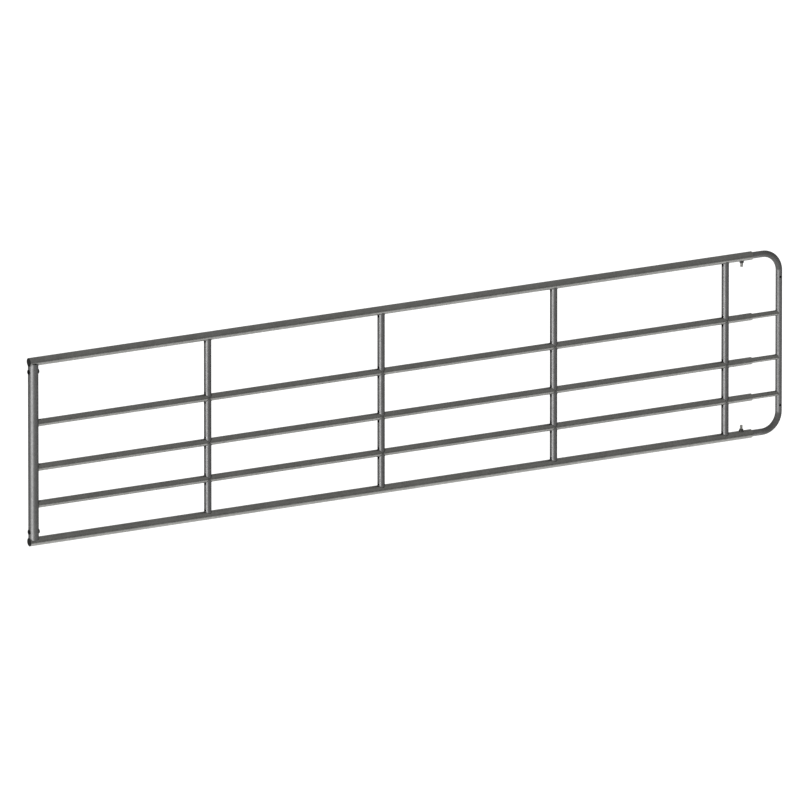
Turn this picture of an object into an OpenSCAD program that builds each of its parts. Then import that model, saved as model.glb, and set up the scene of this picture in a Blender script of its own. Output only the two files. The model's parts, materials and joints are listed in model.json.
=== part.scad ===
// Telescopic five-rail field gate of welded, hot-dip galvanised round tube.
// The gate hangs in the XZ plane: X runs from the hinge stile to the latch end, Z is up,
// and the origin is the centre of the lower hinge bush's outer face, where it meets the hinge.
// The rails are sleeves: a lighter frame slides out of them and is held by two clamp screws.

/* [Gate frame] */
// Height between the centre lines of the bottom and top rails
top_rise = 1050; // [900:10:1300]
// Height of the lower rail above the bottom rail
lower_rise = 215; // [150:5:280]
// Height of the middle rail above the bottom rail
middle_rise = 430; // [350:5:520]
// Height of the upper rail above the bottom rail
upper_rise = 690; // [600:5:800]
// Distance from the stile to the first upright, and from each upright to the next
upright_pitch = 1132; // [900:1:1250]
// Length of rail past the last upright, to the open sleeve end
rail_tail = 172; // [140:1:260]

/* [Tubes] */
// Diameter of the hinge stile
stile_d = 60; // [56:1:76]
// Wall of the hinge stile
stile_wall = 3; // [2:0.1:5]
// Diameter of the top and bottom rails
main_rail_d = 50; // [48:0.5:56]
// Wall of the top and bottom rails
main_rail_wall = 2; // [1.5:0.1:3]
// Diameter of the three inner rails
inner_rail_d = 42.4; // [40:0.1:46]
// Wall of the three inner rails
inner_rail_wall = 2; // [1.5:0.1:3]
// Diameter of the uprights
upright_d = 42.4; // [34:0.1:48]
// Wall of the uprights
upright_wall = 2; // [1.5:0.1:3]
// Width of the vent notches that let molten zinc run in and out of the closed tube ends
vent_width = 22; // [20:0.5:24]
// Depth of the vent notches from the tube that closes the end
vent_depth = 16; // [12:0.5:18]

/* [Sliding extension] */
// Radial clearance of the extension frame in the top and bottom rails
frame_clearance = 4; // [2:0.25:5]
// Radial clearance of the extension rails in the inner rails
inner_clearance = 3.2; // [1.5:0.1:4]
// Wall of the extension tubes
extension_wall = 2; // [1.5:0.1:3]
// Distance from the sleeve ends to the centre line of the end post
extension_shown = 183; // [160:1:900]
// Length of extension tube inside the rails
extension_overlap = 1200; // [300:10:1200]
// Centre line radius of the two bends
bend_radius = 110; // [80:1:140]
// Diameter of the latch holes through the end post
latch_hole_d = 14; // [11:0.5:22]
// Distance of each latch hole from the frame tube's centre line
latch_inset = 146; // [145:1:180]

/* [Hinge bushes] */
// Distance of each hinge from its rail's centre line
hinge_inset = 58; // [50:1:90]
// Bore for the hinge bolt
hinge_bore_d = 21; // [17:0.5:25]
// Wall of the bush between bore and stile
bush_wall = 2.5; // [2:0.1:4]
// Width of the flange beyond the bush
bush_lip = 1.5; // [1:0.1:5]
// Height of the outer flange above the crown of the stile
outer_proud = 1; // [0.6:0.1:4]
// Height of the inner flange above the crown of the stile
inner_proud = 3; // [0.6:0.1:6]
// Length of the spigot from the crown of the stile
spigot_length = 16; // [12:0.5:22]

/* [Rail end plugs] */
// How far the rail ends stop short of the stile's outer side
rail_end_inset = 2; // [0:0.5:6]
// Thickness of the plug's head
plug_head = 3; // [2:0.1:5]
// Length of the ribbed part behind it
plug_depth = 20; // [12:1:30]

/* [Clamp screws] */
// Thread diameter of the clamp screws
screw_d = 16; // [12:0.5:18]
// Width across flats of the welded nuts
across_flats = 24; // [22:0.5:27]
// Height of the welded nuts
nut_height = 9.5; // [8:0.5:16]
// Length of screw that stands out of its nut when it is tight
screw_exposed = 23; // [10:0.5:30]
// Width across flats of the key socket in the screw's end
socket_flats = 8; // [6:0.5:9]
// Depth of the key socket
socket_depth = 9; // [6:0.5:12]
// Distance of the clamp screws from the sleeve ends
clamp_setback = 64; // [40:1:110]

/* [Hidden] */
BAYS = ["bottom", "lower", "upper", "top"];
UPRIGHTS = 4;
UPRIGHT_NODES = [for (i = [1:UPRIGHTS], bay = BAYS) str("upright_", i, "_", bay)];

STEEL = "#8f9492";
DULL_ZINC = "#6f7371";
BRIGHT_ZINC = "#b1b3b0";
PLASTIC = "#1c1d1d";

weld_gap = 0.25;      // root gap between a coped tube end and the tube that it is welded to
seat_gap = 0.3;       // gap between a screw tip and the tube that it bears on
fit_gap = 0.2;        // radial gap round bushes and plugs pushed into tubes
thread_gap = 0.08;    // radial running gap of the screws in their nuts
notch_depth = 13;     // depth of the rail's seat in the stile ends
rail_hole_gap = 0.5;  // radial gap round the screws where they pass through the rails
edge_round = 1;       // rounding of the moulded edges
rib_height = 1.2;     // height of the plug ribs
rib_width = 2;        // width of the plug ribs
rib_count = 3;
chamfer_angle = 30;   // chamfer of the nut corners
face_share = 0.96;    // round end face of a nut, as a share of its width across flats
screw_chamfer = 1.5;  // chamfer of the screw ends
past = 1;             // how far a cut runs past the face that it opens
$fn = 96;

bottom_z = -hinge_inset;
top_z = bottom_z + top_rise;
upper_hinge_z = top_z - hinge_inset;
stile_x = outer_proud + stile_d / 2;
rail_start = stile_x - stile_d / 2 + rail_end_inset;
sleeve_end = stile_x + UPRIGHTS * upright_pitch + rail_tail;

RAIL_Z = [for (rise = [0, lower_rise, middle_rise, upper_rise, top_rise]) bottom_z + rise];
RAIL_D = [main_rail_d, inner_rail_d, inner_rail_d, inner_rail_d, main_rail_d];

bush_d = hinge_bore_d + 2 * bush_wall;
flange_d = bush_d + 2 * bush_lip;

main_bore_d = main_rail_d - 2 * main_rail_wall;
frame_d = main_bore_d - 2 * frame_clearance;
inner_extension_d = inner_rail_d - 2 * inner_rail_wall - 2 * inner_clearance;
extension_start = sleeve_end - extension_overlap;
vent_inset = vent_depth - vent_width / 2;
end_post_x = sleeve_end + extension_shown;
bend_start = end_post_x - bend_radius;

clamp_x = sleeve_end - clamp_setback;
nut_seat = main_rail_d / 2 + weld_gap;
screw_tip = frame_d / 2 + seat_gap;
screw_end = nut_seat + nut_height + screw_exposed;

// A round tube along X
module tube_x(from, to, z, d, wall)
    translate([from, 0, z]) rotate([0, 90, 0])
        difference() {
            cylinder(d = d, h = to - from);
            translate([0, 0, -past]) cylinder(d = d - 2 * wall, h = to - from + 2 * past);
        }

// A round tube along Z
module tube_z(x, from, to, d, wall)
    translate([x, 0, from])
        difference() {
            cylinder(d = d, h = to - from);
            translate([0, 0, -past]) cylinder(d = d - 2 * wall, h = to - from + 2 * past);
        }

// The space that a tube along X takes from a tube welded to it
module cope_x(x, z, d)
    translate([x, 0, z]) rotate([0, 90, 0])
        cylinder(d = d + 2 * weld_gap, h = stile_d + 2 * inner_rail_d, center = true);

// The space that a tube along Z takes from a tube welded to it
module cope_z(x, z, d)
    translate([x, 0, z]) cylinder(d = d + 2 * weld_gap, h = 2 * main_rail_d, center = true);

// The stile: notched over the top and bottom rails and drilled for the bushes
module hinge_stile() color(STEEL) {
    ear = main_rail_d / 2 - notch_depth;
    difference() {
        tube_z(stile_x, bottom_z + ear, top_z - ear, stile_d, stile_wall);
        for (z = [bottom_z, top_z]) cope_x(stile_x, z, main_rail_d);
        for (z = [0, upper_hinge_z])
            translate([stile_x, 0, z]) rotate([0, 90, 0])
                cylinder(d = bush_d + 2 * fit_gap, h = stile_d + 2 * past, center = true);
    }
}

// A top or bottom rail, drilled for its clamp screw on the side that side gives (1 above, -1 below)
module main_rail(z, side) color(STEEL)
    difference() {
        tube_x(rail_start, sleeve_end, z, main_rail_d, main_rail_wall);
        translate([clamp_x, 0, z]) mirror([0, 0, side < 0 ? 1 : 0])
            cylinder(d = screw_d + 2 * rail_hole_gap, h = main_rail_d);
    }

// An inner rail, coped to the stile and vented on its upper side
module inner_rail(z) color(STEEL)
    difference() {
        tube_x(stile_x, sleeve_end, z, inner_rail_d, inner_rail_wall);
        cope_z(stile_x, z, stile_d);
        translate([stile_x + stile_d / 2 + vent_inset, 0, z]) cylinder(d = vent_width, h = inner_rail_d);
    }

// One piece of an upright, coped between rail number bay and the rail above it,
// and vented at both ends on the side of the stile
module upright_piece(number, bay) color(STEEL) {
    x = stile_x + number * upright_pitch;
    difference() {
        tube_z(x, RAIL_Z[bay] + weld_gap, RAIL_Z[bay + 1] - weld_gap, upright_d, upright_wall);
        for (k = [bay, bay + 1]) cope_x(x, RAIL_Z[k], RAIL_D[k]);
        for (end = [[bay, 1], [bay + 1, -1]])
            translate([x, 0, RAIL_Z[end[0]] + end[1] * (RAIL_D[end[0]] / 2 + vent_inset)])
                rotate([0, -90, 0]) cylinder(d = vent_width, h = upright_d);
    }
}

// A moulded bush: a flange saddled to the stile, and a bored spigot through its wall.
// It faces the hinge post, or the rails where inner is true.
module hinge_bush(z, inner) color(PLASTIC) {
    face = stile_d / 2 + (inner ? inner_proud : outer_proud);
    spigot_end = stile_d / 2 - spigot_length;
    translate([stile_x, 0, z]) mirror([inner ? 1 : 0, 0, 0]) rotate([0, -90, 0])
        difference() {
            union() {
                difference() {
                    cylinder(d = flange_d, h = face);
                    rotate([0, 90, 0]) cylinder(r = stile_d / 2 + seat_gap, h = stile_d, center = true);
                }
                translate([0, 0, spigot_end]) cylinder(d = bush_d, h = face - spigot_end);
            }
            cylinder(d = hinge_bore_d, h = face + past);
        }
}

// A moulded plug in the open end of a rail, flush with it: a round-edged head and a hollow ribbed body
module rail_plug(z) color(PLASTIC) {
    head_r = main_bore_d / 2 - fit_gap;
    core_r = head_r - rib_height;
    translate([rail_start, 0, z]) rotate([0, 90, 0])
        difference() {
            union() {
                rotate_extrude() {
                    square([head_r - edge_round, plug_head]);
                    translate([head_r - edge_round, edge_round]) circle(r = edge_round);
                    translate([0, edge_round]) square([head_r, plug_head - edge_round]);
                }
                cylinder(r = core_r, h = plug_head + plug_depth);
                for (k = [1:rib_count])
                    translate([0, 0, plug_head + k * plug_depth / rib_count - rib_width])
                        cylinder(r = head_r, h = rib_width);
            }
            translate([0, 0, plug_head]) cylinder(r = core_r - rib_width, h = plug_depth + past);
        }
}

// A hexagon whose corners are chamfered at both ends, as on a nut
module hexagon(height) {
    face_r = across_flats / 2 * face_share;
    spread = height / tan(chamfer_angle);
    intersection() {
        cylinder(d = across_flats / cos(30), h = height, $fn = 6);
        cylinder(r1 = face_r, r2 = face_r + spread, h = height);
        cylinder(r1 = face_r + spread, r2 = face_r, h = height);
    }
}

// Places a clamp piece on a rail's crown, with Z pointing away from the rail
module on_rail(z, side)
    translate([clamp_x, 0, z]) mirror([0, 0, side < 0 ? 1 : 0]) children();

// The nut welded to the rail
module clamp_nut(z, side) color(DULL_ZINC)
    on_rail(z, side) difference() {
        translate([0, 0, nut_seat]) hexagon(nut_height);
        cylinder(d = screw_d + 2 * thread_gap, h = screw_end);
    }

// The set screw through it, whose tip bears on the extension frame inside the rail:
// chamfered at both ends, with a hexagon key socket in the outer one
module clamp_screw(z, side) color(BRIGHT_ZINC)
    on_rail(z, side) difference() {
        rotate_extrude()
            polygon([
                [0, screw_tip],
                [screw_d / 2 - screw_chamfer, screw_tip],
                [screw_d / 2, screw_tip + screw_chamfer],
                [screw_d / 2, screw_end - screw_chamfer],
                [screw_d / 2 - screw_chamfer, screw_end],
                [0, screw_end],
            ]);
        translate([0, 0, screw_end - socket_depth])
            cylinder(d = socket_flats / cos(30), h = socket_depth + past, $fn = 6);
    }

// A ring: the section of the extension frame's tube
module frame_section()
    difference() {
        circle(d = frame_d);
        circle(d = frame_d - 2 * extension_wall);
    }

// The extension frame: one tube bent round the end of the gate, drilled for the latch
module extension_frame() color(STEEL)
    difference() {
        union() {
            for (z = [bottom_z, top_z])
                tube_x(extension_start, bend_start, z, frame_d, extension_wall);
            translate([bend_start, 0, bottom_z + bend_radius]) rotate([90, 0, 0])
                rotate_extrude(angle = -90) translate([bend_radius, 0]) frame_section();
            translate([bend_start, 0, top_z - bend_radius]) rotate([90, 0, 0])
                rotate_extrude(angle = 90) translate([bend_radius, 0]) frame_section();
            tube_z(end_post_x, bottom_z + bend_radius, top_z - bend_radius, frame_d, extension_wall);
        }
        for (z = [bottom_z + latch_inset, top_z - latch_inset])
            translate([end_post_x, 0, z]) rotate([90, 0, 0])
                cylinder(d = latch_hole_d, h = frame_d + 2 * past, center = true);
    }

// An extension rail, coped to the end post
module extension_rail(z) color(STEEL)
    difference() {
        tube_x(extension_start, end_post_x, z, inner_extension_d, extension_wall);
        cope_z(end_post_x, z, frame_d);
    }

hinge_stile();
main_rail(bottom_z, 1);  // bottom_rail
inner_rail(RAIL_Z[1]);  // lower_rail
inner_rail(RAIL_Z[2]);  // middle_rail
inner_rail(RAIL_Z[3]);  // upper_rail
main_rail(top_z, -1);  // top_rail
for (i = [1:UPRIGHTS], bay = [0:len(BAYS) - 1])
    upright_piece(i, bay);
rail_plug(bottom_z);  // bottom_rail_plug
rail_plug(top_z);  // top_rail_plug
hinge_bush(0, false);  // lower_bush_outer
hinge_bush(0, true);  // lower_bush_inner
hinge_bush(upper_hinge_z, false);  // upper_bush_outer
hinge_bush(upper_hinge_z, true);  // upper_bush_inner
clamp_nut(bottom_z, 1);  // bottom_clamp_nut
clamp_screw(bottom_z, 1);  // bottom_clamp_screw
clamp_nut(top_z, -1);  // top_clamp_nut
clamp_screw(top_z, -1);  // top_clamp_screw
extension_frame();
extension_rail(RAIL_Z[1]);  // extension_lower_rail
extension_rail(RAIL_Z[2]);  // extension_middle_rail
extension_rail(RAIL_Z[3]);  // extension_upper_rail
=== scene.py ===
"""Dresses the telescopic field gate: finishes on every tube, welds, threaded clamp screws, studio and camera.

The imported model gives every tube, plug, bush and nut. This script adds what is made of weld metal and thread,
gives each surface the finish of its real material, and sets a plain studio round the gate.
"""
from __future__ import annotations

import json
import logging
import math
from dataclasses import dataclass
from enum import Enum
from typing import Sequence

import bpy
from bpy.types import Material, Node, NodeSocket, NodeTree, Object
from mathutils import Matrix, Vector

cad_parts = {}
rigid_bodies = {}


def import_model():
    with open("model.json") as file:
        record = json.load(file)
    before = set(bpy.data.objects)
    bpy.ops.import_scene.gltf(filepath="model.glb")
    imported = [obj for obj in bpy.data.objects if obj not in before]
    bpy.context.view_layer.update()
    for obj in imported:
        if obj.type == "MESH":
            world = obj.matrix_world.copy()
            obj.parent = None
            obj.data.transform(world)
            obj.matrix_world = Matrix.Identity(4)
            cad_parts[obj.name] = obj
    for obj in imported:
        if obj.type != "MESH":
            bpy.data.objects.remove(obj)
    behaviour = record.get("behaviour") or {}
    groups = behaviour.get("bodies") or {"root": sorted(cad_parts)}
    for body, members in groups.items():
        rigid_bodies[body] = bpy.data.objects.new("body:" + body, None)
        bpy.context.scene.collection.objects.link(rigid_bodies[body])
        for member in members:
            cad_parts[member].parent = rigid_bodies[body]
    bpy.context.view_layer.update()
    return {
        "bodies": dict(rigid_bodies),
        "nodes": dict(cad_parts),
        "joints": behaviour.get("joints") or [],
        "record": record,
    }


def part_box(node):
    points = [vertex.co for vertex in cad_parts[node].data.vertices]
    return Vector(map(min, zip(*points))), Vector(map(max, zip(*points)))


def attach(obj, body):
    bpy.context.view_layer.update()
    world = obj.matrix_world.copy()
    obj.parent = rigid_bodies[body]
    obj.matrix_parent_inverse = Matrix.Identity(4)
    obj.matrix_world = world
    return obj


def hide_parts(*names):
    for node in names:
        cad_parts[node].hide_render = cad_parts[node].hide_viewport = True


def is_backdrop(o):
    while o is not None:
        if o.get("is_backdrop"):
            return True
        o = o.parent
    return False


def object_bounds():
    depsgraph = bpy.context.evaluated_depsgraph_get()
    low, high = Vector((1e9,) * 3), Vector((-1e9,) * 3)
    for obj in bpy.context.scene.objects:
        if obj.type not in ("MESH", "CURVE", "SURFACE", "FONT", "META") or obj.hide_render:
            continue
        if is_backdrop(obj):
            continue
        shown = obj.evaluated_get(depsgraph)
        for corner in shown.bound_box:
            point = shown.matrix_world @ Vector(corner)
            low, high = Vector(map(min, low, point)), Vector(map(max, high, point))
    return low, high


LOG = logging.getLogger("gate")
MM = 0.001
BEND_RADIUS = 110 * MM  # centre line radius of the extension frame's bends
VENT_WIDTH = 22 * MM  # the round notches in the tube ends that let molten zinc run through
VENT_DEPTH = 16 * MM
VENT_MARGIN = 0.8 * MM  # how far a weld stops short of a notch
QUARTERS = 4  # a closed bead's rings are shared out evenly over its quarters
HEXAGON_GIRTH = 1.1  # about how much longer a hexagon's outline is than that of the circle inside it
SHARP_EDGE = math.radians(25)  # the least fold between two faces that the eye takes for an edge

RAILS = ("bottom_rail", "lower_rail", "middle_rail", "upper_rail", "top_rail")
BAYS = ("bottom", "lower", "upper", "top")
UPRIGHTS = range(1, 5)  # numbered from the stile

X_AXIS = Vector((1.0, 0.0, 0.0))
Z_AXIS = Vector((0.0, 0.0, 1.0))


class Body(Enum):
    """The rigid bodies that pieces ride on."""

    GATE = "gate_frame"
    EXTENSION = "extension"
    BOTTOM_CLAMP = "bottom_clamp"
    TOP_CLAMP = "top_clamp"


class Slot(Enum):
    """The record's material slots."""

    GALVANISED = "galvanised_steel"
    WEATHERED = "weathered_zinc_steel"
    ZINC = "zinc_plated_steel"
    PLASTIC = "black_plastic"


class Side(Enum):
    """The side of a rail that a branch tube or a nut stands on."""

    ABOVE = 1.0
    BELOW = -1.0


def linear(code: str) -> tuple[float, float, float, float]:
    """Turns an sRGB hex colour into linear light.

    Args:
        code: The colour as "#rrggbb".

    Returns:
        Red, green and blue in linear light, and full opacity.
    """
    parts = [int(code[i : i + 2], 16) / 255 for i in (1, 3, 5)]
    lit = [c / 12.92 if c <= 0.04045 else ((c + 0.055) / 1.055) ** 2.4 for c in parts]
    return lit[0], lit[1], lit[2], 1.0


def add_node(tree: NodeTree, kind: str, inputs: dict | None = None, **settings: object) -> Node:
    """Adds one shader node with its settings, values and links.

    Args:
        tree: The node tree to add to.
        kind: The node's type name.
        inputs: What goes into each input, by name or number: a value, or an output socket to link.
        **settings: Attributes set on the node first.

    Returns:
        The new node.
    """
    node = tree.nodes.new(kind)
    for name, value in settings.items():
        setattr(node, name, value)
    for name, value in (inputs or {}).items():
        if isinstance(value, NodeSocket):
            tree.links.new(value, node.inputs[name])
        else:
            node.inputs[name].default_value = value
    return node


def noise(tree: NodeTree, place: NodeSocket, size_mm: float, detail: float, roughness: float = 0.5) -> NodeSocket:
    """Adds a cloudy pattern.

    Args:
        tree: The node tree to add to.
        place: The place on the object.
        size_mm: The size of a cloud.
        detail: How many layers of ever finer clouds it has.
        roughness: How strong each layer is against the one before.

    Returns:
        The pattern, from 0 to 1.
    """
    inputs = {"Vector": place, "Scale": 1 / (size_mm * MM), "Detail": detail, "Roughness": roughness}
    return add_node(tree, "ShaderNodeTexNoise", inputs).outputs["Fac"]


def ramp(
    tree: NodeTree,
    value: NodeSocket,
    ends: tuple[float, float] = (0.0, 1.0),
    levels: tuple[float, float] = (0.0, 1.0),
    **settings: object,
) -> NodeSocket:
    """Adds a ramp.

    Args:
        tree: The node tree to add to.
        value: What it is looked up by.
        ends: The values at which it starts and ends.
        levels: What it gives at its start and its end.
        **settings: Attributes of the node.

    Returns:
        The level.
    """
    inputs = {"Value": value, "From Min": ends[0], "From Max": ends[1], "To Min": levels[0], "To Max": levels[1]}
    return add_node(tree, "ShaderNodeMapRange", inputs, **settings).outputs[0]


def mix(tree: NodeTree, share: NodeSocket, first: object, second: object, kind: str = "RGBA") -> NodeSocket:
    """Adds a mix of two colours or, with the kind FLOAT, of two numbers.

    Args:
        tree: The node tree to add to.
        share: The second one's share.
        first: The first colour or number, as a value or a socket.
        second: The second one.
        kind: The node's data type.

    Returns:
        The mix.
    """
    inputs = {"Factor": share, "A": first, "B": second}
    return add_node(tree, "ShaderNodeMix", inputs, data_type=kind).outputs["Result"]


def reckon(tree: NodeTree, operation: str, *values: object) -> NodeSocket:
    """Adds one step of arithmetic.

    Args:
        tree: The node tree to add to.
        operation: The node's operation.
        *values: What it works on, as numbers or sockets.

    Returns:
        The outcome.
    """
    return add_node(tree, "ShaderNodeMath", dict(enumerate(values)), operation=operation).outputs[0]


def relief(
    tree: NodeTree, place: NodeSocket, grain_mm: float, detail: float, height_mm: float, share: float
) -> NodeSocket:
    """Adds a grain that stands up from the surface.

    Args:
        tree: The node tree to add to.
        place: The place on the object.
        grain_mm: The size of a grain.
        detail: How many layers of ever finer grains it has.
        height_mm: Its height.
        share: How much of that height the light picks out.

    Returns:
        The grained surface's normal.
    """
    inputs = {"Height": noise(tree, place, grain_mm, detail), "Distance": height_mm * MM, "Strength": share}
    return add_node(tree, "ShaderNodeBump", inputs).outputs[0]


def blank_material(name: str) -> tuple[Material, NodeTree]:
    """Makes a material with an empty node tree.

    Args:
        name: The material's name.

    Returns:
        The material and its tree.
    """
    material = bpy.data.materials.new(name)
    material.use_nodes = True
    material.node_tree.nodes.clear()
    return material, material.node_tree


def upright_piece(number: int, bay: str) -> str:
    """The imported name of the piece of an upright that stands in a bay."""
    return f"upright_{number}_{bay}"


@dataclass(frozen=True)
class Elbows:
    """Where the two elbows of a bent tube lie.

    Attributes:
        start: The X at which they begin.
        low: The Z below which the lower one lies.
        high: The Z above which the upper one lies.
        run_in: Half the length over which their skin comes in along the X axis.
        blend: Half the length over which it goes out again along the Z axis.
        cover: How much of the steel their matt skin, with its painted shade, hides.
    """

    start: float
    low: float
    high: float
    run_in: float = 30 * MM
    blend: float = 6 * MM
    cover: float = 0.85

    @classmethod
    def of_extension(cls, bend_radius: float) -> Elbows:
        """Finds the elbows of the extension frame.

        Args:
            bend_radius: The centre line radius of its bends.

        Returns:
            The elbows.
        """
        low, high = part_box("extension_frame")
        radius = (high.y - low.y) / 2
        reach = radius + bend_radius
        end = reach - cls.blend
        return cls(high.x - reach, low.z + end, high.z - end)

    def mask(self, tree: NodeTree, place: NodeSocket) -> NodeSocket:
        """Adds the nodes that find the elbows.

        Args:
            tree: The material's node tree.
            place: The place on the object.

        Returns:
            How much of the elbows' own skin covers the steel: none outside them.
        """
        axes = add_node(tree, "ShaderNodeSeparateXYZ", {0: place})
        past, below, above = (
            ramp(tree, axes.outputs[axis], ends)
            for axis, ends in (
                ("X", (self.start - self.run_in, self.start + self.run_in)),
                ("Z", (self.low + self.blend, self.low - self.blend)),
                ("Z", (self.high - self.blend, self.high + self.blend)),
            )
        )
        on_elbow = reckon(tree, "MULTIPLY", past, reckon(tree, "MAXIMUM", below, above))
        return reckon(tree, "MULTIPLY", on_elbow, self.cover)


@dataclass(frozen=True)
class GalvanisedSteel:
    """Hot-dip galvanised mild steel tube: a dull zinc skin with a soft, barely visible crystal spangle.

    The eye sees a satin metal whose crystals each throw back the light a little differently, cloudy
    where the zinc ran thicker, and never a mirror. Inside the tubes and round the joints, where walls shut
    out the sky, the colour is darkened as painted shade. The elbows' skin is matt, and its darker colour is painted
    shade.

    Attributes:
        name: The material's name.
        bright: The colour of the lightest crystals.
        dull: The colour of the darkest ones.
        hollow_shade: The colour of the painted shade in hollows.
        spangle_mm: The size of a crystal.
        cloud_mm: The size of a cloud.
        cloud_detail: How many layers of ever finer clouds there are.
        cloud_roughness: How strong each layer is against the one before.
        crystal_share: How far a crystal's own tone moves it against the clouds.
        tones: The tones at which the colour is all dull and all bright.
        grain_mm: The size of the skin's fine grain.
        grain_detail: How many layers of ever finer grains it has.
        relief_mm: Its height.
        relief_share: How much of that height the light picks out.
        roughness_low: The roughness of the smoothest crystals.
        roughness_high: The roughness of the roughest ones.
        hollow_mm: How far a wall shades its surroundings.
        hollow_samples: How many directions are tried for such walls.
        hollow: The shares of open sky at which the painted shade is full and at which it ends.
        elbows: The elbows, or None for a straight tube.
        elbow_shade: The darker colour of their skin: painted shade on the bends.
        elbow_roughness: Its roughness.
    """

    name: str = "hot_dip_galvanised_steel"
    bright: str = "#a7a7a4"
    dull: str = "#989895"
    hollow_shade: str = "#1f1f1d"
    spangle_mm: float = 9.0
    cloud_mm: float = 160.0
    cloud_detail: float = 4.0
    cloud_roughness: float = 0.55
    crystal_share: float = 0.35
    tones: tuple[float, float] = (0.45, 0.9)
    grain_mm: float = 1.6
    grain_detail: float = 3.0
    relief_mm: float = 0.05
    relief_share: float = 0.6
    roughness_low: float = 0.32
    roughness_high: float = 0.43
    hollow_mm: float = 120.0
    hollow_samples: int = 8
    hollow: tuple[float, float] = (0.1, 0.24)
    elbows: Elbows | None = None
    elbow_shade: str = "#878786"
    elbow_roughness: float = 0.88

    def material(self) -> Material:
        """Builds the material.

        Returns:
            The finished material.
        """
        material, tree = blank_material(self.name)
        place = add_node(tree, "ShaderNodeTexCoord").outputs["Object"]
        crystal = add_node(tree, "ShaderNodeTexVoronoi", {"Vector": place, "Scale": 1 / (self.spangle_mm * MM)})
        facet = add_node(tree, "ShaderNodeSeparateColor", {"Color": crystal.outputs["Color"]})
        roughness = ramp(tree, facet.outputs["Green"], levels=(self.roughness_low, self.roughness_high))
        colour = self.zinc_colour(tree, place, facet.outputs["Red"])
        if self.elbows is not None:
            on_elbow = self.elbows.mask(tree, place)
            # the elbows' darker colour is painted shade; their higher roughness is the matt zinc's own
            colour = mix(tree, on_elbow, colour, linear(self.elbow_shade))
            roughness = mix(tree, on_elbow, roughness, self.elbow_roughness, kind="FLOAT")
        normal = relief(tree, place, self.grain_mm, self.grain_detail, self.relief_mm, self.relief_share)
        skin = add_node(
            tree,
            "ShaderNodeBsdfPrincipled",
            {
                "Base Color": self.with_painted_shade(tree, colour),
                "Metallic": 1.0,
                "Roughness": roughness,
                "Normal": normal,
            },
        )
        add_node(tree, "ShaderNodeOutputMaterial", {"Surface": skin.outputs[0]})
        return material

    def zinc_colour(
        self, tree: NodeTree, place: NodeSocket, facet: NodeSocket
    ) -> NodeSocket:
        """Adds the nodes of the zinc's colour: crystals under broad clouds.

        Args:
            tree: The material's node tree.
            place: The place on the object.
            facet: Each crystal's own number.

        Returns:
            The colour.
        """
        clouds = noise(tree, place, self.cloud_mm, self.cloud_detail, self.cloud_roughness)
        tone = reckon(tree, "MULTIPLY_ADD", facet, self.crystal_share, clouds)
        return mix(tree, ramp(tree, tone, self.tones), linear(self.dull), linear(self.bright))

    def with_painted_shade(self, tree: NodeTree, colour: NodeSocket) -> NodeSocket:
        """Adds the nodes that paint shade into the colour where walls shut out the sky: in bores, vents and joints.

        Args:
            tree: The material's node tree.
            colour: The colour in the open.

        Returns:
            The colour with the ash.
        """
        open_sky = add_node(
            tree, "ShaderNodeAmbientOcclusion", {"Distance": self.hollow_mm * MM}, samples=self.hollow_samples
        )
        # painted shade: the less sky a point sees, the more of the dark colour it gets
        unshaded = ramp(tree, open_sky.outputs["AO"], self.hollow)
        return mix(tree, unshaded, linear(self.hollow_shade), colour)


@dataclass(frozen=True)
class ZincPlatedSteel:
    """Zinc plated steel of screws and nuts, with stains in the plating that are duller and rougher.

    Attributes:
        name: The material's name.
        bright: The colour of clean plating.
        dull: The colour of a stain.
        stain_mm: The size of a stain.
        stain_detail: How many layers of ever finer stains there are.
        stain_roughness: How strong each layer is against the one before.
        roughness_low: The roughness of clean plating.
        roughness_high: The roughness of a stain.
    """

    name: str = "zinc_plated_steel"
    bright: str = "#cbcbc7"
    dull: str = "#b9b9b4"
    stain_mm: float = 6.0
    stain_detail: float = 5.0
    stain_roughness: float = 0.6
    roughness_low: float = 0.36
    roughness_high: float = 0.52

    def material(self) -> Material:
        """Builds the material.

        Returns:
            The finished material.
        """
        material, tree = blank_material(self.name)
        place = add_node(tree, "ShaderNodeTexCoord").outputs["Object"]
        stain = noise(tree, place, self.stain_mm, self.stain_detail, self.stain_roughness)
        colour = mix(tree, stain, linear(self.dull), linear(self.bright))
        roughness = ramp(tree, stain, levels=(self.roughness_high, self.roughness_low))
        skin = add_node(
            tree,
            "ShaderNodeBsdfPrincipled",
            {"Base Color": colour, "Metallic": 1.0, "Roughness": roughness},
        )
        add_node(tree, "ShaderNodeOutputMaterial", {"Surface": skin.outputs[0]})
        return material


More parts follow.
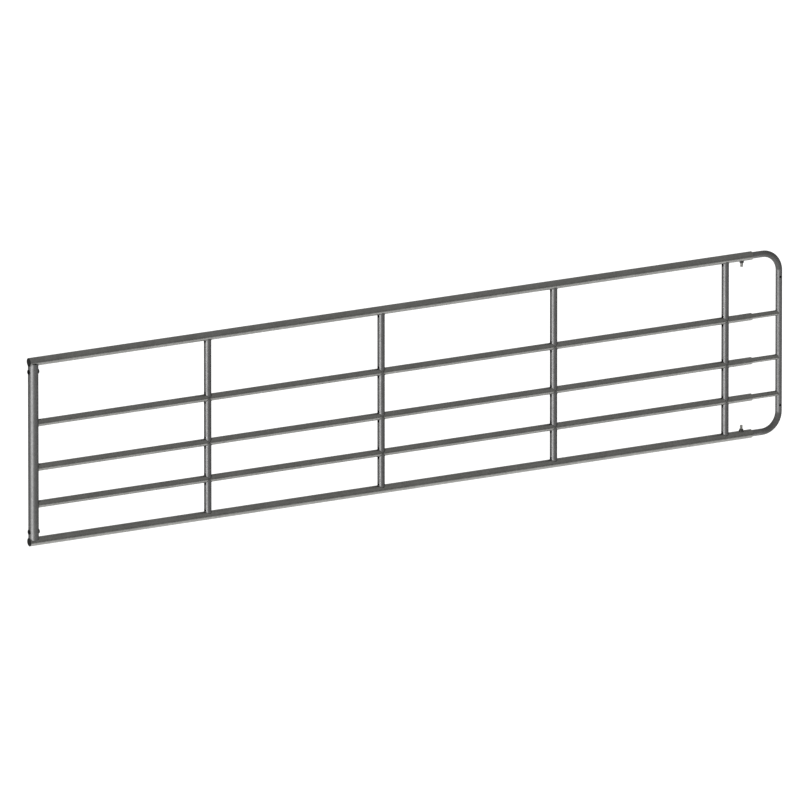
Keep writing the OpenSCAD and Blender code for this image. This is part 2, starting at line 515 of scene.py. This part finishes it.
@dataclass(frozen=True)
class MouldedPolyethylene:
    """Injection moulded black polyethylene: a waxy low sheen over a fine eroded mould texture.

    Attributes:
        name: The material's name.
        fresh: The colour where it is like new.
        greyed: The colour where the sun has bleached it.
        bloom_mm: The size of a bleached patch.
        bloom_detail: How many layers of ever finer patches there are.
        grain_mm: The size of the mould texture's grain.
        grain_detail: How many layers of ever finer grains it has.
        relief_mm: Its height.
        relief_share: How much of that height the light picks out.
        roughness_low: The roughness where it is like new.
        roughness_high: The roughness of a bleached patch.
        refraction: The refractive index of polyethylene.
    """

    name: str = "moulded_black_polyethylene"
    fresh: str = "#131414"
    greyed: str = "#1d1e1e"
    bloom_mm: float = 14.0
    bloom_detail: float = 3.0
    grain_mm: float = 0.5  # drawn coarser than the real 0.1 mm, so that it shows close up
    grain_detail: float = 2.0
    relief_mm: float = 0.03
    relief_share: float = 0.8
    roughness_low: float = 0.42
    roughness_high: float = 0.58
    refraction: float = 1.51

    def material(self) -> Material:
        """Builds the material.

        Returns:
            The finished material.
        """
        material, tree = blank_material(self.name)
        place = add_node(tree, "ShaderNodeTexCoord").outputs["Object"]
        bloom = noise(tree, place, self.bloom_mm, self.bloom_detail)
        normal = relief(tree, place, self.grain_mm, self.grain_detail, self.relief_mm, self.relief_share)
        skin = add_node(
            tree,
            "ShaderNodeBsdfPrincipled",
            {
                "Base Color": mix(tree, bloom, linear(self.fresh), linear(self.greyed)),
                "Roughness": ramp(tree, bloom, levels=(self.roughness_low, self.roughness_high)),
                "IOR": self.refraction,
                "Normal": normal,
            },
        )
        add_node(tree, "ShaderNodeOutputMaterial", {"Surface": skin.outputs[0]})
        return material


@dataclass(frozen=True)
class StudioFloor:
    """Plain pale floor of frosted glass lit from below: white to the eye, and it takes the gate's shadow.

    Its light leaves it steeply, as through a louvred panel, so metal shows it as a white band
    on the surfaces that look down, and as a dim floor on those that look along it.

    Attributes:
        name: The material's name.
        paint: The colour that it has in the room's light.
        lift: The strength of its own light, of which 1 is white.
        plumb: How far off plumb its light starts and is full, on a scale from 0, plumb, to 1, level.
        flat: How far off plumb its light has ended and is still full.
    """

    name: str = "pale_floor"
    paint: str = "#c4c4c3"
    lift: float = 1.0
    plumb: tuple[float, float] = (0.02, 0.12)
    flat: tuple[float, float] = (0.58, 0.36)

    def material(self) -> Material:
        """Builds the material.

        Returns:
            The finished material.
        """
        material, tree = blank_material(self.name)
        rays = add_node(tree, "ShaderNodeLightPath")
        slant = add_node(tree, "ShaderNodeLayerWeight")
        not_plumb, not_flat = (
            ramp(tree, slant.outputs["Facing"], ends, interpolation_type="SMOOTHSTEP")
            for ends in (self.plumb, self.flat)
        )
        louvre = reckon(tree, "MULTIPLY", not_plumb, not_flat)
        mirrored = reckon(tree, "MAXIMUM", rays.outputs["Is Glossy Ray"], rays.outputs["Is Transmission Ray"])
        shown = reckon(tree, "MAXIMUM", rays.outputs["Is Camera Ray"], reckon(tree, "MULTIPLY", mirrored, louvre))
        glow = reckon(tree, "MULTIPLY", shown, self.lift)
        paint = add_node(tree, "ShaderNodeBsdfDiffuse", {"Color": linear(self.paint)})
        lamp = add_node(tree, "ShaderNodeEmission", {"Color": linear("#ffffff"), "Strength": glow})
        both = add_node(tree, "ShaderNodeAddShader", {0: paint.outputs[0], 1: lamp.outputs[0]})
        add_node(tree, "ShaderNodeOutputMaterial", {"Surface": both.outputs[0]})
        return material


@dataclass(frozen=True)
class Finishes:
    """The materials shared by the sub-assemblies.

    Attributes:
        steel: The bottom and top rails and the extension's rails.
        inner: The three inner rails of the gate, round whose vents the painted shade shows.
        thick: The hinge stile.
        drawn: The uprights.
        bent: The extension frame.
        weld: Every bead. Zinc lies matt and dark over weld metal, with crystals too small to see.
        nut: The clamp nuts.
        screw: The clamp screws.
        plastic: The plugs and the bushes.
    """

    steel: Material
    inner: Material
    thick: Material
    drawn: Material
    bent: Material
    weld: Material
    nut: Material
    screw: Material
    plastic: Material

    @classmethod
    def make(cls) -> Finishes:
        """Builds each finish once.

        Returns:
            The finishes.
        """
        vented = (0.2, 0.42)  # the painted shade reaches out to where a vent lets in more of the sky
        # The uprights, stile and extension frame get a darker zinc than the rails: painted shade. Their roughness
        # is their own.
        drawn = GalvanisedSteel(
            name="galvanised_drawn_tube",
            bright="#959595",
            dull="#8a8a8a",
            relief_mm=0.006,
            roughness_low=0.47,
            roughness_high=0.52,
            hollow=vented,
        )
        thick = GalvanisedSteel(
            name="galvanised_thick_tube",
            bright="#979797",
            dull="#8d8d8d",
            relief_mm=0.015,
            roughness_low=0.5,
            roughness_high=0.54,
        )
        bent = GalvanisedSteel(
            name="galvanised_bent_tube",
            bright="#999999",
            dull="#8e8e8e",
            roughness_low=0.54,
            roughness_high=0.6,
            hollow=(0.0, 0.08),
            elbows=Elbows.of_extension(BEND_RADIUS),
        )
        weld = GalvanisedSteel(
            name="galvanised_weld_metal",
            bright="#7a7a77",
            dull="#686866",
            spangle_mm=2.0,
            roughness_low=0.55,
            roughness_high=0.68,
        )
        return cls(
            steel=GalvanisedSteel().material(),
            inner=GalvanisedSteel("galvanised_inner_rail", hollow=vented).material(),
            thick=thick.material(),
            drawn=drawn.material(),
            bent=bent.material(),
            weld=weld.material(),
            nut=ZincPlatedSteel("weathered_zinc_nut", "#747472", "#595957").material(),
            screw=ZincPlatedSteel("zinc_plated_screw").material(),
            plastic=MouldedPolyethylene().material(),
        )

    def dress(self, frame: dict) -> None:
        """Puts its own finish, or else that of its slot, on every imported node.

        Args:
            frame: The loaded frame.
        """
        by_node = {"extension_frame": self.bent, "hinge_stile": self.thick}
        by_node.update((rail, self.inner) for rail in RAILS[1:-1])
        by_node.update((upright_piece(number, bay), self.drawn) for number in UPRIGHTS for bay in BAYS)
        by_slot = {
            Slot.GALVANISED: self.steel,
            Slot.WEATHERED: self.nut,
            Slot.ZINC: self.screw,
            Slot.PLASTIC: self.plastic,
        }
        for part in frame["record"]["subparts"]:
            materials = frame["nodes"][part["node"]].data.materials
            materials.clear()
            materials.append(by_node.get(part["node"], by_slot[Slot(part["material_slot"])]))


@dataclass(frozen=True)
class Tube:
    """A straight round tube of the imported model.

    Attributes:
        centre: The middle of its axis.
        radius: Its outer radius.
        low: The lowest corner of its box.
        high: The highest one.
    """

    centre: Vector
    radius: float
    low: Vector
    high: Vector

    @classmethod
    def along(cls, node: str, axis: int) -> Tube:
        """Reads a tube from its node's box.

        Args:
            node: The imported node's name.
            axis: The number of the axis that the tube runs along.

        Returns:
            The tube.
        """
        low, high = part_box(node)
        across = [i for i in range(3) if i != axis]
        radius = (high[across[0]] - low[across[0]]) / 2
        return cls((low + high) / 2, radius, low, high)


def half_vent_mouth(run_r: float) -> float:
    """Finds how wide a vent notch is where it opens on a run tube.

    Args:
        run_r: The run tube's outer radius.

    Returns:
        Half the width of the mouth.
    """
    notch_r = VENT_WIDTH / 2
    centre = run_r + VENT_DEPTH - notch_r
    lean = (run_r**2 + centre**2 - notch_r**2) / (2 * run_r * centre)
    return run_r * math.sqrt(1 - lean**2)


@dataclass(frozen=True)
class Seam:
    """A line along which weld metal is laid.

    Attributes:
        points: The points of the line.
        faces: The direction that the bead faces at each point.
        closed: Whether the line ends where it starts.
        swell: How much thicker than usual the bead is at each point, or empty where it is nowhere thicker.
    """

    points: list[Vector]
    faces: list[Vector]
    closed: bool = True
    swell: tuple[float, ...] = ()

    @classmethod
    def saddle(
        cls,
        joint: Vector,
        branch: Vector,
        run: Vector,
        branch_r: float,
        run_r: float,
        step: float,
        vent: Vector | None = None,
    ) -> Seam:
        """The line where a branch tube meets a run tube.

        Args:
            joint: The point where the two axes cross.
            branch: The direction in which the branch leaves the run.
            run: The run tube's direction.
            branch_r: The branch's outer radius.
            run_r: The run's outer radius.
            step: The distance between points.
            vent: The side of the branch whose vent notch breaks the weld, along the run, or None.

        Returns:
            The seam, closed where there is no vent.
        """
        side = run.cross(branch)
        gap = 0.0 if vent is None else math.asin((half_vent_mouth(run_r) + VENT_MARGIN) / branch_r)
        start = math.pi if vent is not None and vent.dot(run) < 0 else 0.0
        span = 2 * math.pi - 2 * gap
        count = QUARTERS * math.ceil(span * max(branch_r, run_r) / step / QUARTERS)
        points, faces = [], []
        for k in range(count if vent is None else count + 1):
            angle = start + gap + span * k / count
            sideways = branch_r * math.sin(angle)
            depth = math.sqrt(max(run_r**2 - sideways**2, 0.0))
            on_run = side * sideways + branch * depth
            points.append(joint + run * (branch_r * math.cos(angle)) + on_run)
            faces.append((run * math.cos(angle) + side * math.sin(angle) + on_run / run_r).normalized())
        return cls(points, faces, closed=vent is None)

    @classmethod
    def astride(
        cls, joint: Vector, branch: Vector, run: Vector, branch_r: float, run_r: float, ear: float, step: float
    ) -> Seam:
        """The closed line where a thick branch with a notched end sits astride a thinner run.

        Args:
            joint: The point where the two axes cross.
            branch: The direction in which the branch leaves the run.
            run: The run tube's direction.
            branch_r: The branch's outer radius, greater than the run's.
            run_r: The run's outer radius.
            ear: The distance from the run's axis at which the branch's ears end.
            step: The distance between points.

        Returns:
            The seam.
        """
        side = run.cross(branch)
        reach = math.sqrt(run_r**2 - ear**2)
        limit = math.asin(reach / branch_r)
        half_run = branch_r * math.cos(limit)
        arc_steps = 2 * math.ceil(branch_r * limit / step)
        run_steps = 2 * math.ceil(half_run / step)
        points, faces = [], []
        for end in (1.0, -1.0):
            for k in range(arc_steps):
                angle = end * limit * (2 * k / arc_steps - 1)
                sideways = branch_r * math.sin(angle)
                on_run = side * sideways + branch * math.sqrt(run_r**2 - sideways**2)
                points.append(joint + run * (end * branch_r * math.cos(angle)) + on_run)
                faces.append((run * (end * math.cos(angle)) + side * math.sin(angle) + on_run / run_r).normalized())
            for k in range(run_steps):
                on_run = side * (end * reach) + branch * ear
                points.append(joint + run * (end * half_run * (1 - 2 * k / run_steps)) + on_run)
                faces.append((on_run / run_r - branch).normalized())
        return cls(points, faces)

    def tangent(self, k: int) -> Vector:
        """The line's direction at a point.

        Args:
            k: The point's number.

        Returns:
            A unit vector.
        """
        last = len(self.points) - 1
        if self.closed:
            return (self.points[(k + 1) % (last + 1)] - self.points[k - 1]).normalized()
        return (self.points[min(k + 1, last)] - self.points[max(k - 1, 0)]).normalized()


@dataclass(frozen=True)
class WeldBead:
    """A bead laid by hand: a low round fillet whose width breathes and whose top shows the ripples of the pool.

    Attributes:
        width: Its width.
        height: Its height over its own middle.
        ripple_pitch: The distance between two ripples.
        ripple_depth: How far they rise and fall.
        ripple_rings: How many rings of the mesh a ripple takes.
        sink: How deep its middle lies under the seam's line.
        breath: The share by which its size comes and goes.
        breath_length: The travel over which that turns by one radian.
        breath_shift: The radians by which each bead's breath is ahead of the last one's.
        crater: The length over which an open end rounds off.
        crater_floor: The square of the share of its size that is left at the very end.
        sides: How many sides its cross-section has.
    """

    width: float = 4.6 * MM
    height: float = 2.5 * MM
    ripple_pitch: float = 2.6 * MM  # drawn coarser than the real 1.5 mm, so that it shows close up
    ripple_depth: float = 0.16 * MM
    ripple_rings: int = 4
    sink: float = 0.8 * MM
    breath: float = 0.12
    breath_length: float = 19 * MM
    breath_shift: float = 1.7
    crater: float = 2.4 * MM
    crater_floor: float = 0.05
    sides: int = 10

    @property
    def step(self) -> float:
        """The distance between the bead's rings."""
        return self.ripple_pitch / self.ripple_rings

    def taper(self, seam: Seam, k: int) -> float:
        """How full the bead is at a ring: it rounds off into a crater at an open end.

        Args:
            seam: The line.
            k: The ring's number.

        Returns:
            The share of the bead's full size.
        """
        if seam.closed:
            return 1.0
        from_end = min(k, len(seam.points) - 1 - k) * self.step / self.crater
        return math.sqrt(max(1 - max(1 - from_end, 0.0) ** 2, self.crater_floor))

    def lay(self, name: str, seams: Sequence[Seam], left_limit: float | None = None) -> Object:
        """Lays one bead along each seam, joined in one mesh.

        Args:
            name: The new object's name.
            seams: The lines to weld.
            left_limit: The X to which the metal is ground back, or None.

        Returns:
            The welds.
        """
        vertices: list[Vector] = []
        faces: list[tuple[int, ...]] = []
        for number, seam in enumerate(seams):
            start, count = len(vertices), len(seam.points)
            for k, (point, face) in enumerate(zip(seam.points, seam.faces)):
                along = seam.tangent(k)
                across = along.cross(face).normalized()
                up = across.cross(along)
                travel = k * self.step
                breath = math.sin(travel / self.breath_length + self.breath_shift * number)
                size = (1 + self.breath * breath) * self.taper(seam, k)
                if seam.swell:
                    size *= seam.swell[k]
                ripple = self.ripple_depth * math.cos(2 * math.pi * travel / self.ripple_pitch)
                middle = point - up * self.sink
                for s in range(self.sides):
                    turn = 2 * math.pi * s / self.sides
                    wide = self.width / 2 * size * math.cos(turn)
                    high = (self.height * size + ripple) * math.sin(turn)
                    vertices.append(middle + across * wide + up * high)
            rings = range(start, start + count * self.sides, self.sides)
            joined = list(zip(rings, rings[1:])) + ([(rings[-1], rings[0])] if seam.closed else [])
            for here, there in joined:
                for s in range(self.sides):
                    nxt = (s + 1) % self.sides
                    faces.append((here + s, here + nxt, there + nxt, there + s))
            if not seam.closed:
                faces.append(tuple(range(start + self.sides - 1, start - 1, -1)))
                faces.append(tuple(range(rings[-1], rings[-1] + self.sides)))
        if left_limit is not None:
            for vertex in vertices:
                vertex.x = max(vertex.x, left_limit)
        return solid(name, vertices, faces)


def solid(
    name: str, vertices: Sequence[Vector], faces: Sequence[Sequence[int]], smooth: bool = True
) -> Object:
    """Makes a mesh object in the scene.

    Args:
        name: The object's and the mesh's name.
        vertices: The corners.
        faces: The corner numbers of each face.
        smooth: Whether the faces are shaded smooth.

    Returns:
        The object.
    """
    mesh = bpy.data.meshes.new(name)
    mesh.from_pydata([tuple(v) for v in vertices], [], [tuple(f) for f in faces])
    mesh.validate()
    mesh.update()
    mesh.polygons.foreach_set("use_smooth", [smooth] * len(mesh.polygons))
    made = bpy.data.objects.new(name, mesh)
    bpy.context.scene.collection.objects.link(made)
    return made


def install(piece: Object, material: Material, body: Body) -> None:
    """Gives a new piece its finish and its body.

    Args:
        piece: The piece.
        material: Its material.
        body: The body that it rides on.
    """
    piece.data.materials.append(material)
    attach(piece, body.value)
    LOG.info("%s: %d faces on %s", piece.name, len(piece.data.polygons), body.value)


@dataclass(frozen=True)
class GateFrame:
    """The welded frame: stile, five rails and four uprights, with the welds at every joint.

    Attributes:
        finishes: The materials.
        left_limit: The X to which the weld metal at the stile's ends is ground back.
        bead: The bead of the uprights and the inner rails.
        low_bead: The flatter bead of the stile's notched ends.
    """

    finishes: Finishes
    left_limit: float = 0.4 * MM
    bead: WeldBead = WeldBead()
    low_bead: WeldBead = WeldBead(width=3.4 * MM, height=1.4 * MM, sink=0.6 * MM)

    def build(self) -> None:
        """Welds the uprights, the rails and the stile."""
        rails = [Tube.along(name, 0) for name in RAILS]
        for number in UPRIGHTS:
            self.weld_upright(number, rails)
        self.weld_rails_to_stile(rails[1:-1])
        self.weld_stile_ends(rails[0], rails[-1])

    def weld_upright(self, number: int, rails: Sequence[Tube]) -> None:
        """Welds the four pieces of an upright to the rails.

        Args:
            number: The upright's number, from the stile.
            rails: The five rails, from the bottom.
        """
        seams = []
        for k, bay in enumerate(BAYS):
            post = Tube.along(upright_piece(number, bay), 2)
            for rail, side in ((rails[k], Side.ABOVE), (rails[k + 1], Side.BELOW)):
                joint = Vector((post.centre.x, 0.0, rail.centre.z))
                branch = Z_AXIS * side.value
                seams.append(
                    Seam.saddle(joint, branch, X_AXIS, post.radius, rail.radius, self.bead.step, vent=-X_AXIS)
                )
        piece = self.bead.lay(f"upright_{number}_welds", seams)
        install(piece, self.finishes.weld, Body.GATE)

    def weld_rails_to_stile(self, rails: Sequence[Tube]) -> None:
        """Welds the three inner rails to the stile.

        Args:
            rails: The inner rails.
        """
        stile = Tube.along("hinge_stile", 2)
        seams = []
        for rail in rails:
            joint = Vector((stile.centre.x, 0.0, rail.centre.z))
            seams.append(Seam.saddle(joint, X_AXIS, Z_AXIS, rail.radius, stile.radius, self.bead.step, vent=Z_AXIS))
        piece = self.bead.lay("inner_rail_welds", seams)
        install(piece, self.finishes.weld, Body.GATE)

    def weld_stile_ends(self, bottom: Tube, top: Tube) -> None:
        """Welds the notched ends of the stile to the bottom and top rails.

        Args:
            bottom: The bottom rail.
            top: The top rail.
        """
        stile = Tube.along("hinge_stile", 2)
        seams = []
        for rail, side, end in ((bottom, Side.ABOVE, stile.low.z), (top, Side.BELOW, stile.high.z)):
            joint = Vector((stile.centre.x, 0.0, rail.centre.z))
            ear = abs(end - rail.centre.z)
            seams.append(
                Seam.astride(joint, Z_AXIS * side.value, X_AXIS, stile.radius, rail.radius, ear, self.low_bead.step)
            )
        piece = self.low_bead.lay("stile_end_welds", seams, left_limit=self.left_limit)
        install(piece, self.finishes.weld, Body.GATE)


@dataclass(frozen=True)
class Extension:
    """The sliding frame: the bent tube and its three rails, welded to the end post.

    Attributes:
        finishes: The materials.
        rails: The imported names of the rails.
        bead: Their bead.
    """

    finishes: Finishes
    rails: tuple[str, ...] = ("extension_lower_rail", "extension_middle_rail", "extension_upper_rail")
    bead: WeldBead = WeldBead(width=4.2 * MM, height=2.4 * MM)

    def build(self) -> None:
        """Welds the three rails to the end post."""
        low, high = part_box("extension_frame")
        post_r = (high.y - low.y) / 2
        post_x = high.x - post_r
        seams = []
        for name in self.rails:
            rail = Tube.along(name, 0)
            joint = Vector((post_x, 0.0, rail.centre.z))
            seams.append(Seam.saddle(joint, -X_AXIS, Z_AXIS, rail.radius, post_r, self.bead.step))
        piece = self.bead.lay("extension_welds", seams)
        install(piece, self.finishes.weld, Body.EXTENSION)


@dataclass(frozen=True)
class Clamp:
    """A clamp: a threaded set screw with a hexagon key socket, and the weld that holds its nut to the rail.

    Attributes:
        finishes: The materials.
        place: The word that its pieces' names start with.
        rail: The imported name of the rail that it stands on.
        side: The side of the rail that it stands on.
        body: The body that its screw rides on.
        thread_pitch: The travel of one turn.
        thread_depth: How deep the thread is cut.
        crest_share: The share of the pitch that the flat crest takes.
        flank_share: The share that the two flanks take.
        rows_per_turn: How many rows of the mesh a turn takes.
        sides: How many sides the screw has.
        end_chamfer: The chamfer at both ends of the thread.
        socket_flats: The key socket's width across flats.
        socket_depth: The depth of the socket to the point that the drill left.
        mouth_bevel: The bevel round its mouth.
        drill_point: The height of the cone at its bottom.
        bead: The nut's bead.
    """

    finishes: Finishes
    place: str
    rail: str
    side: Side
    body: Body
    thread_pitch: float = 2.0 * MM
    thread_depth: float = 1.23 * MM
    crest_share: float = 0.14
    flank_share: float = 0.68
    rows_per_turn: int = 10
    sides: int = 72
    end_chamfer: float = 1.5 * MM
    socket_flats: float = 8.0 * MM
    socket_depth: float = 9.0 * MM
    mouth_bevel: float = 0.4 * MM
    drill_point: float = 1.4 * MM
    bead: WeldBead = WeldBead(width=3.4 * MM, height=1.8 * MM, ripple_pitch=2.4 * MM, sink=0.4 * MM)

    def build(self) -> None:
        """Makes the screw and the nut's weld."""
        self.build_screw()
        self.weld_nut()

    def hexagon(self, angle: float, flats: float) -> float:
        """The radius of a hexagon with a corner towards +X.

        Args:
            angle: The direction, in radians.
            flats: Its width across flats.

        Returns:
            The distance from its centre to its side.
        """
        return flats / 2 / math.cos(math.fmod(angle, math.pi / 3) - math.pi / 6)

    def thread(self, travel: float, angle: float, crest: float, length: float) -> float:
        """The radius of the screw's thread.

        Args:
            travel: The distance from the tip.
            angle: The direction, in radians.
            crest: The thread's outer radius.
            length: The screw's length.

        Returns:
            The radius there, with a narrow flat crest and root, and a chamfer at both ends.
        """
        phase = (travel / self.thread_pitch - angle / (2 * math.pi)) % 1.0
        flank = abs(phase - 0.5) * 2
        cut = min(1.0, max(0.0, (flank - self.crest_share) / self.flank_share))
        from_end = min(travel, length - travel)
        return min(crest - self.thread_depth * cut, crest - max(0.0, self.end_chamfer - from_end))

    def socket_rows(self, length: float) -> list[tuple[float, list[float]]]:
        """The rows of the key socket: a bevelled mouth, hexagonal walls and the cone that the drill left.

        Args:
            length: The screw's length.

        Returns:
            The travel and radii of each row.
        """
        angles = [2 * math.pi * k / self.sides for k in range(self.sides)]
        walls = [self.hexagon(a, self.socket_flats) for a in angles]
        mouth = [max(walls) + self.mouth_bevel / 2] * self.sides
        bored = length - self.socket_depth + self.drill_point
        drill = [self.socket_flats / 2] * self.sides
        return [(length, mouth), (length - self.mouth_bevel, walls), (bored, walls), (bored, drill)]

    def build_screw(self) -> None:
        """Makes the threaded screw that takes the place of the plain imported one."""
        node = f"{self.place}_clamp_screw"
        low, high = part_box(node)
        crest = (high.y - low.y) / 2
        tip = low.z if self.side is Side.ABOVE else high.z
        length = high.z - low.z
        angles = [2 * math.pi * k / self.sides for k in range(self.sides)]
        turns = round(length / self.thread_pitch * self.rows_per_turn)
        rows = [
            (travel, [self.thread(travel, a, crest, length) for a in angles])
            for travel in (length * k / turns for k in range(turns + 1))
        ]
        rows += self.socket_rows(length)
        centre = (low.x + high.x) / 2
        vertices = [
            Vector((centre + r * math.cos(a), r * math.sin(a), tip + self.side.value * travel))
            for travel, radii in rows
            for a, r in zip(angles, radii)
        ]
        vertices.append(Vector((centre, 0.0, tip + self.side.value * (length - self.socket_depth))))
        faces: list[tuple[int, ...]] = [tuple(range(self.sides))[::-1]]
        for k in range(len(rows) - 1):
            ring, above = k * self.sides, (k + 1) * self.sides
            for i in range(self.sides):
                nxt = (i + 1) % self.sides
                faces.append((ring + i, ring + nxt, above + nxt, above + i))
        last, point = (len(rows) - 1) * self.sides, len(vertices) - 1
        faces += [(last + i, last + (i + 1) % self.sides, point) for i in range(self.sides)]
        if self.side is Side.BELOW:
            faces = [tuple(reversed(face)) for face in faces]
        piece = solid(f"{self.place}_threaded_screw", vertices, faces)
        piece.data.set_sharp_from_angle(angle=SHARP_EDGE)
        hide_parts(node)
        install(piece, self.finishes.screw, self.body)

    def weld_nut(self) -> None:
        """Lays the bead round the foot of the nut, thicker where the rail falls away under it."""
        low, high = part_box(f"{self.place}_clamp_nut")
        rail = Tube.along(self.rail, 0)
        middle, flats = (low.x + high.x) / 2, high.y - low.y
        count = QUARTERS * math.ceil(math.pi * flats * HEXAGON_GIRTH / self.bead.step / QUARTERS)
        points, faces, swell = [], [], []
        for k in range(count):
            angle = 2 * math.pi * k / count
            reach = self.hexagon(angle, flats)
            out = Vector((math.cos(angle), math.sin(angle), 0.0))
            drop = rail.radius - math.sqrt(rail.radius**2 - (reach * out.y) ** 2)
            rise = self.side.value * (rail.radius - drop / 2)
            points.append(Vector((middle, 0.0, rail.centre.z + rise)) + out * reach)
            faces.append((out + Z_AXIS * self.side.value).normalized())
            swell.append(1 + drop / self.bead.width)
        piece = self.bead.lay(f"{self.place}_nut_weld", [Seam(points, faces, swell=tuple(swell))])
        install(piece, self.finishes.weld, Body.GATE)


def direction(azimuth: float, elevation: float) -> Vector:
    """The direction from the gate to a lamp or the camera.

    Args:
        azimuth: Degrees round the vertical, 0 towards -Y and 90 towards +X.
        elevation: Degrees above the horizon.

    Returns:
        A unit vector.
    """
    turn, rise = math.radians(azimuth), math.radians(elevation)
    return Vector((math.sin(turn) * math.cos(rise), -math.cos(turn) * math.cos(rise), math.sin(rise)))


@dataclass(frozen=True)
class Lamp:
    """A soft white lamp that shines on the gate from far off, the same all along its length.

    Attributes:
        name: Its name.
        azimuth: Degrees round the vertical, 0 towards -Y and 90 towards +X.
        elevation: Degrees above the horizon.
        strength: The light that it throws on a surface that faces it.
        spread: The degrees over which it is seen from the gate.
    """

    name: str
    azimuth: float
    elevation: float
    strength: float
    spread: float

    def hang(self) -> None:
        """Makes the lamp."""
        data = bpy.data.lights.new(self.name, "SUN")
        data.energy = self.strength
        data.angle = math.radians(self.spread)
        # A ray that a tube mirrors towards the lamp ends on the floor, which hides it. So the lamp's gloss has to
        # come from rays sent to the lamp itself, which pass the floor.
        data.cycles.use_multiple_importance_sampling = False
        lamp = bpy.data.objects.new(self.name, data)
        lamp.rotation_mode = "QUATERNION"
        lamp.rotation_quaternion = direction(self.azimuth, self.elevation).to_track_quat("Z", "Y")
        bpy.context.scene.collection.objects.link(lamp)


@dataclass(frozen=True)
class Studio:
    """Plain pale floor under the hung gate, a soft lamp below it, an even grey room and a long-lens camera.

    Attributes:
        ground_clearance: The height of the gate over the floor.
        floor_size: The floor's length and width.
        azimuth: The camera's degrees round the vertical.
        elevation: The camera's degrees above the horizon.
        aim: The point in the middle of the view.
        view_width: How much of the scene the view shows across.
        lens: The camera's focal length in millimetres, long enough for a nearly parallel view.
        sensor: The width of its sensor in millimetres.
        room: The colour of the room's light.
        lamp: The lamp.
    """

    ground_clearance: float = 0.12
    floor_size: float = 80.0
    azimuth: float = -30.0
    elevation: float = 15.0
    aim: tuple[float, float, float] = (2.4188, 0.0, 0.449)
    view_width: float = 4.538
    lens: float = 1600.0
    sensor: float = 36.0
    room: str = "#9a9a99"
    lamp: Lamp = Lamp("key", azimuth=-57.0, elevation=-14.0, strength=1.25, spread=26.0)

    def build(self) -> None:
        """Sets the camera, the floor, the room and the lamp."""
        self.set_camera()
        self.lay_floor()
        self.paint_room()
        self.lamp.hang()

    def set_camera(self) -> None:
        """Places the camera so that the gate fills the frame in near parallel view."""
        data = bpy.data.cameras.new("camera")
        data.sensor_width = self.sensor
        data.lens = self.lens
        distance = self.view_width * self.lens / self.sensor
        data.clip_start, data.clip_end = distance * 0.5, distance * 2
        camera = bpy.data.objects.new("camera", data)
        back = direction(self.azimuth, self.elevation)
        camera.location = Vector(self.aim) + back * distance
        camera.rotation_mode = "QUATERNION"
        camera.rotation_quaternion = (-back).to_track_quat("-Z", "Y")
        bpy.context.scene.collection.objects.link(camera)
        bpy.context.scene.camera = camera

    def lay_floor(self) -> None:
        """Lays the floor below the gate."""
        low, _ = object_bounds()
        half, level = self.floor_size / 2, low.z - self.ground_clearance
        x, y = self.aim[0], self.aim[1]
        outline = [Vector((x + i * half, y + j * half, level)) for i, j in ((-1, -1), (1, -1), (1, 1), (-1, 1))]
        floor = solid("floor", outline, [(0, 1, 2, 3)], smooth=False)
        floor.data.materials.append(StudioFloor().material())
        floor.visible_shadow = False  # the lamp below it shines through the glass
        floor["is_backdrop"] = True

    def paint_room(self) -> None:
        """Gives the room its even light."""
        world = bpy.data.worlds.new("room")
        world.use_nodes = True
        tree = world.node_tree
        tree.nodes.clear()
        room = add_node(tree, "ShaderNodeBackground", {"Color": linear(self.room), "Strength": 1.0})
        add_node(tree, "ShaderNodeOutputWorld", {"Surface": room.outputs[0]})
        bpy.context.scene.world = world


def main() -> None:
    """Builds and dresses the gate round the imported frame."""
    logging.basicConfig(level=logging.INFO, format="%(name)s: %(message)s")
    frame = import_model()
    bpy.context.scene.view_settings.view_transform = "Standard"
    finishes = Finishes.make()
    finishes.dress(frame)
    GateFrame(finishes).build()
    Extension(finishes).build()
    Clamp(finishes, "bottom", "bottom_rail", Side.ABOVE, Body.BOTTOM_CLAMP).build()
    Clamp(finishes, "top", "top_rail", Side.BELOW, Body.TOP_CLAMP).build()
    Studio().build()


if __name__ == "__main__":
    main()
